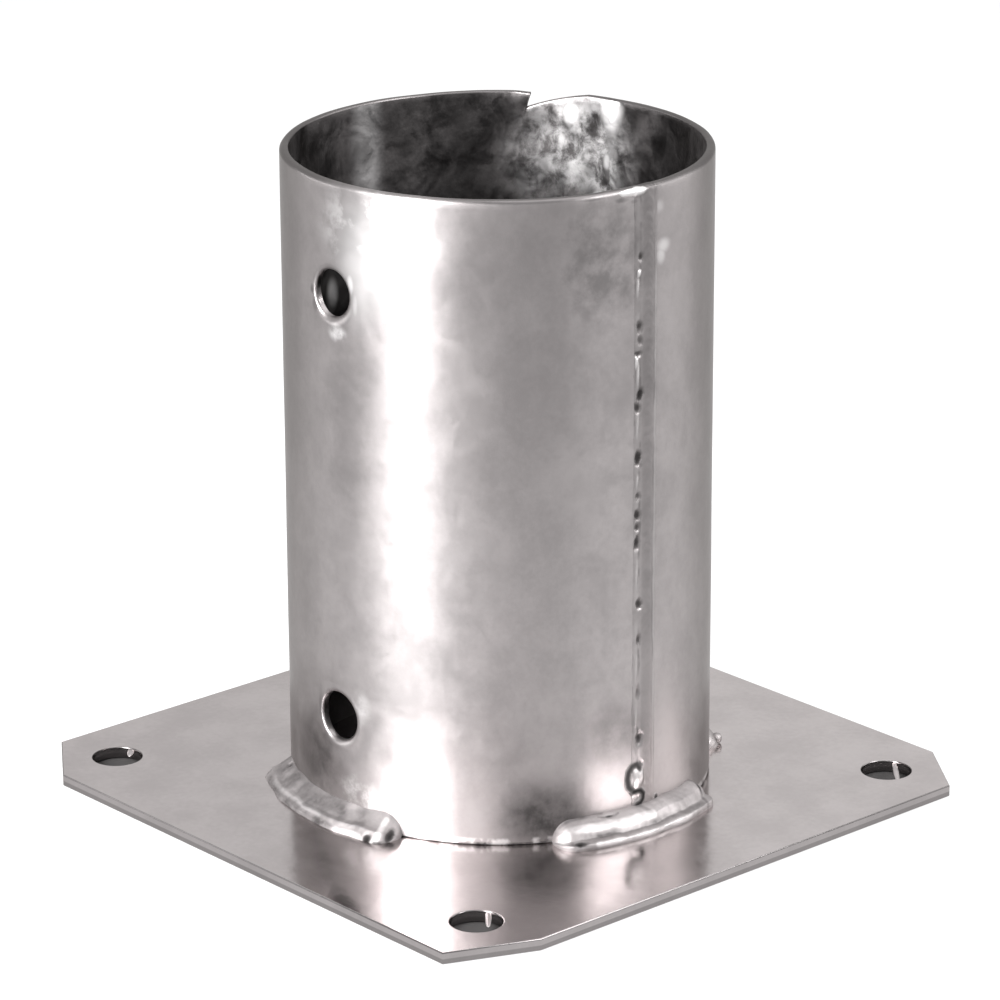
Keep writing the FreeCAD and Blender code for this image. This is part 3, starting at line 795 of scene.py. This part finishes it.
def bore_painted_light(paint):
    """Painted light in the bore where the lamps light its far wall, mottled below the torn rim, with a few soft
    painted highlights.
    """
    mottle = paint.noise(4.5, 6.0, 0.66, (1.0, 1.0, 1.2), 0.35)
    patches = paint.remap(mottle, 0.36, 0.64)
    bore = BORE_RADIUS / SLEEVE_RADIUS

    def on_bore(angle, height):
        x, y, z = on_sleeve(angle, height)
        return (x * bore, y * bore, z)

    mottled = paint.maths("MULTIPLY", patches, marks_at(paint, (
        (on_bore(115.0, 151.0), (22.0, 18.0, 19.0), 0.52),
        (on_bore(125.0, 146.0), (14.0, 14.0, 16.0), 0.3),
        (on_bore(106.0, 146.0), (8.0, 8.0, 18.0), 0.7),
    )))
    soft = marks_at(paint, (
        (on_bore(103.8, 162.5), (4.6, 4.6, 10.0), 1.0),
        (on_bore(116.6, 158.6), (3.6, 3.6, 4.6), 0.8),
        (on_bore(105.4, 148.0), (1.6, 1.6, 3.4), 0.6),
        (on_bore(104.0, 151.0), (3.0, 3.0, 11.0), 0.3),
        (on_bore(179.0, 152.0), (9.0, 6.5, 34.0), 0.32),
        (on_bore(-166.2, 117.5), (4.0, 3.2, 5.5), 0.9),
    ))
    return paint.maths("MAXIMUM", mottled, soft)


def bore_painted_shade(paint):
    """Painted shade: the bore darker further down from the rim."""
    return paint.remap(paint.height(), 150.0, 105.0, 0.0, 0.7)


def plate_painted_shade(paint):
    """Painted shade on the rounded top edges and the sheared sides, darker still in the lower half, and slowly darker
    across the sheet towards -X and -Y.
    """
    bevel = paint.remap(paint.height(), 2.998, 2.95, 0.0, 0.85)
    cut = paint.remap(paint.height(), 2.75, 2.6, 0.85, 0.35)
    edge = paint.maths("MINIMUM", bevel, cut)
    slope = paint.tree.nodes.new("ShaderNodeVectorMath")
    slope.operation = "DOT_PRODUCT"
    paint.put(slope.inputs[0], paint.place)
    slope.inputs[1].default_value = (0.665, 0.747, 0.0)
    across = paint.remap(slope.outputs["Value"], 60.0, -90.0, 0.0, 0.14)
    lower = paint.remap(paint.height(), 1.7, 1.2, 0.0, 0.6)
    return paint.maths("MAXIMUM", paint.maths("MAXIMUM", edge, across), lower)


# Studio, in metres

# How far the floor lies below the plate
FLOOR_DROP = 0.0002

# Name, azimuth counted round +Z from +X, elevation, distance, width, height and power of each soft lamp
LAMPS = (
    ("key", -88.0, 23.0, 0.78, 0.36, 0.74, 20.0),
    ("soft_key", -80.0, 22.0, 1.1, 1.6, 0.34, 8.0),
    ("window", 23.0, 31.0, 1.0, 0.42, 0.4, 9.0),
    ("fill", 62.0, 12.0, 1.0, 0.5, 0.8, 3.5),
    ("left", -147.0, 7.0, 1.1, 0.6, 0.25, 2.0),
    ("top", 60.0, 70.0, 0.9, 0.8, 0.8, 5.0),
)

# Camera fitted to the photograph: its turn, tilt and roll in degrees, how far its aim lies to the right of
# the axis, the height of the aim and the distance from it in millimetres, and the lens
VIEW_TURN = 48.341
VIEW_TILT = 19.147
VIEW_ROLL = -0.255
VIEW_SHIFT = 0.268
VIEW_HEIGHT = 73.042
VIEW_DISTANCE = 1180.925
VIEW_LENS = 172.254


def lamp(name, azimuth, elevation, distance, width, height, power):
    """Soft lamp aimed at the middle of the object."""
    data = bpy.data.lights.new(name, "AREA")
    data.shape = "RECTANGLE"
    data.size = width
    data.size_y = height
    data.energy = power
    obj = bpy.data.objects.new(name, data)
    aim = Vector((0.0, 0.0, 0.08))
    turn, tilt = math.radians(azimuth), math.radians(elevation)
    toward = Vector((math.cos(turn) * math.cos(tilt), math.sin(turn) * math.cos(tilt), math.sin(tilt)))
    obj.location = aim + toward * distance
    obj.rotation_euler = toward.to_track_quat("Z", "Y").to_euler()
    bpy.context.scene.collection.objects.link(obj)


def seen(tree, outputs):
    """Highest of some Light Path outputs."""
    path = tree.nodes.new("ShaderNodeLightPath")
    value = path.outputs[outputs[0]]
    for name in outputs[1:]:
        node = tree.nodes.new("ShaderNodeMath")
        node.operation = "MAXIMUM"
        tree.links.new(value, node.inputs[0])
        tree.links.new(path.outputs[name], node.inputs[1])
        value = node.outputs[0]
    return value


def white_world():
    """White background as seen and as mirrored, with a softer level for other light."""
    world = bpy.data.worlds.new("studio")
    bpy.context.scene.world = world
    world.use_nodes = True
    tree = world.node_tree
    background = tree.nodes["Background"]
    background.inputs["Color"].default_value = (1.0, 1.0, 1.0, 1.0)
    level = tree.nodes.new("ShaderNodeMapRange")
    tree.links.new(seen(tree, ("Is Camera Ray", "Is Glossy Ray", "Is Transmission Ray")), level.inputs["Value"])
    level.inputs["To Min"].default_value = 0.6
    level.inputs["To Max"].default_value = 1.0
    tree.links.new(level.outputs[0], background.inputs["Strength"])


def under_holes(tree):
    """Mask of the floor beneath the anchor holes, where the plate lies on it and a shadow is painted."""
    place = tree.nodes.new("ShaderNodeTexCoord")
    fold = tree.nodes.new("ShaderNodeVectorMath")
    fold.operation = "ABSOLUTE"
    tree.links.new(place.outputs["Object"], fold.inputs[0])
    offset = tree.nodes.new("ShaderNodeVectorMath")
    offset.operation = "SUBTRACT"
    tree.links.new(fold.outputs[0], offset.inputs[0])
    offset.inputs[1].default_value = (ANCHOR_REACH * MM, ANCHOR_REACH * MM, FLOOR_DROP)
    length = tree.nodes.new("ShaderNodeVectorMath")
    length.operation = "LENGTH"
    tree.links.new(offset.outputs[0], length.inputs[0])
    near = tree.nodes.new("ShaderNodeMath")
    near.operation = "LESS_THAN"
    tree.links.new(length.outputs["Value"], near.inputs[0])
    near.inputs[1].default_value = 9.0 * MM
    return near.outputs[0]


def floor():
    """Pale floor that shows white, with the object's shadow kept, and a painted shadow beneath the anchor holes."""
    material = bpy.data.materials.new("floor_paper")
    material.use_nodes = True
    tree = material.node_tree
    tree.nodes.remove(tree.nodes["Principled BSDF"])
    paper = tree.nodes.new("ShaderNodeBsdfDiffuse")
    paper.inputs["Color"].default_value = (0.86, 0.86, 0.86, 1.0)
    glow = tree.nodes.new("ShaderNodeEmission")
    glow.inputs["Color"].default_value = (1.0, 1.0, 1.0, 1.0)
    direct = tree.nodes.new("ShaderNodeMath")
    direct.operation = "MULTIPLY"
    tree.links.new(seen(tree, ("Is Camera Ray",)), direct.inputs[0])
    direct.inputs[1].default_value = 0.75
    share = tree.nodes.new("ShaderNodeMath")
    share.operation = "MAXIMUM"
    tree.links.new(direct.outputs[0], share.inputs[0])
    tree.links.new(seen(tree, ("Is Glossy Ray", "Is Transmission Ray")), share.inputs[1])
    mix = tree.nodes.new("ShaderNodeMixShader")
    tree.links.new(share.outputs[0], mix.inputs[0])
    tree.links.new(paper.outputs[0], mix.inputs[1])
    tree.links.new(glow.outputs[0], mix.inputs[2])
    # Painted shadow: dark paper beneath the anchor holes.
    under = tree.nodes.new("ShaderNodeMixShader")
    shadow = tree.nodes.new("ShaderNodeBsdfDiffuse")
    shadow.inputs["Color"].default_value = (0.05, 0.048, 0.048, 1.0)
    tree.links.new(under_holes(tree), under.inputs[0])
    tree.links.new(mix.outputs[0], under.inputs[1])
    tree.links.new(shadow.outputs[0], under.inputs[2])
    tree.links.new(under.outputs[0], tree.nodes["Material Output"].inputs["Surface"])
    mesh = bpy.data.meshes.new("floor")
    reach = 4.0
    corners = ((-reach, -reach), (reach, -reach), (reach, reach), (-reach, reach))
    mesh.from_pydata([(x, y, -FLOOR_DROP) for x, y in corners], [], [(0, 1, 2, 3)])
    mesh.materials.append(material)
    obj = bpy.data.objects.new("floor", mesh)
    bpy.context.scene.collection.objects.link(obj)


def camera():
    """Camera at the photograph's viewing angle."""
    turn, tilt, roll = (math.radians(angle) for angle in (VIEW_TURN, VIEW_TILT, VIEW_ROLL))
    back = Vector((math.sin(turn) * math.cos(tilt), -math.cos(turn) * math.cos(tilt), math.sin(tilt)))
    right = Vector((math.cos(turn), math.sin(turn), 0.0))
    up = back.cross(right)
    place = right * VIEW_SHIFT * MM + Vector((0, 0, VIEW_HEIGHT * MM)) + back * VIEW_DISTANCE * MM
    side = right * math.cos(roll) + up * math.sin(roll)
    top = up * math.cos(roll) - right * math.sin(roll)
    data = bpy.data.cameras.new("camera")
    data.sensor_width = 36.0
    data.lens = VIEW_LENS
    data.clip_end = 50.0
    obj = bpy.data.objects.new("camera", data)
    obj.matrix_world = Matrix.Translation(place) @ Matrix((side, top, back)).transposed().to_4x4()
    bpy.context.scene.collection.objects.link(obj)
    bpy.context.scene.camera = obj


def main():
    """Dresses the part and sets up the studio."""
    outside = zinc("sleeve_zinc", 0.285, 0.345, 0.37, 0.08, 0.022, 0.008, sleeve_painted_shade, sleeve_highlights_and_blotches, 0.6)
    inside = zinc("sleeve_bore_zinc", 0.045, 0.1, 0.42, 0.25, 0.1, 0.02, bore_painted_shade, bore_painted_light, 0.3)
    sheet = zinc("plate_zinc", 0.505, 0.575, 0.18, 0.06, 0.02, 0.006, plate_painted_shade)
    seam_metal = zinc("seam_zinc", 0.285, 0.345, 0.38, 0.1, 0.03, 0.01, sleeve_painted_shade, None, 0.0, True)
    bead_metal = zinc("bead_zinc", 0.19, 0.27, 0.56, 0.16, 0.06, 0.02, None, None, 0.0, True)
    drip_metal = zinc("drip_zinc", 0.4, 0.52, 0.38, 0.1, 0.03, 0.01)
    pieces = [
        (sleeve([outside, inside]), "post_sleeve", "sleeve_steel"),
        (plate(sheet), "base_plate", "plate_steel"),
        (seam(seam_metal), "seam_weld", "weld_metal"),
    ]
    pieces += [(bead(name, bead_metal), name, "weld_metal") for name in STITCHES]
    ball = blob("spatter_ball", around(*SPATTER_PLACE), SPATTER_SIZES, 0.0, bead_metal)
    pieces.append((ball, "stitch_weld_plus_y", "weld_metal"))
    for name, x, y, length, width in DRIPS:
        drip = blob(name, (x, y, DRIP_HEIGHT), (length, width, DRIP_THICKNESS), DRIP_TURN, drip_metal)
        pieces.append((drip, "base_plate", "plate_steel"))
    for piece, node, slot in pieces:
        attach(piece, "root")
        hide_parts(node)
    white_world()
    floor()
    camera()
    for settings in LAMPS:
        lamp(*settings)
    bpy.context.scene.view_settings.view_transform = "Standard"


main()
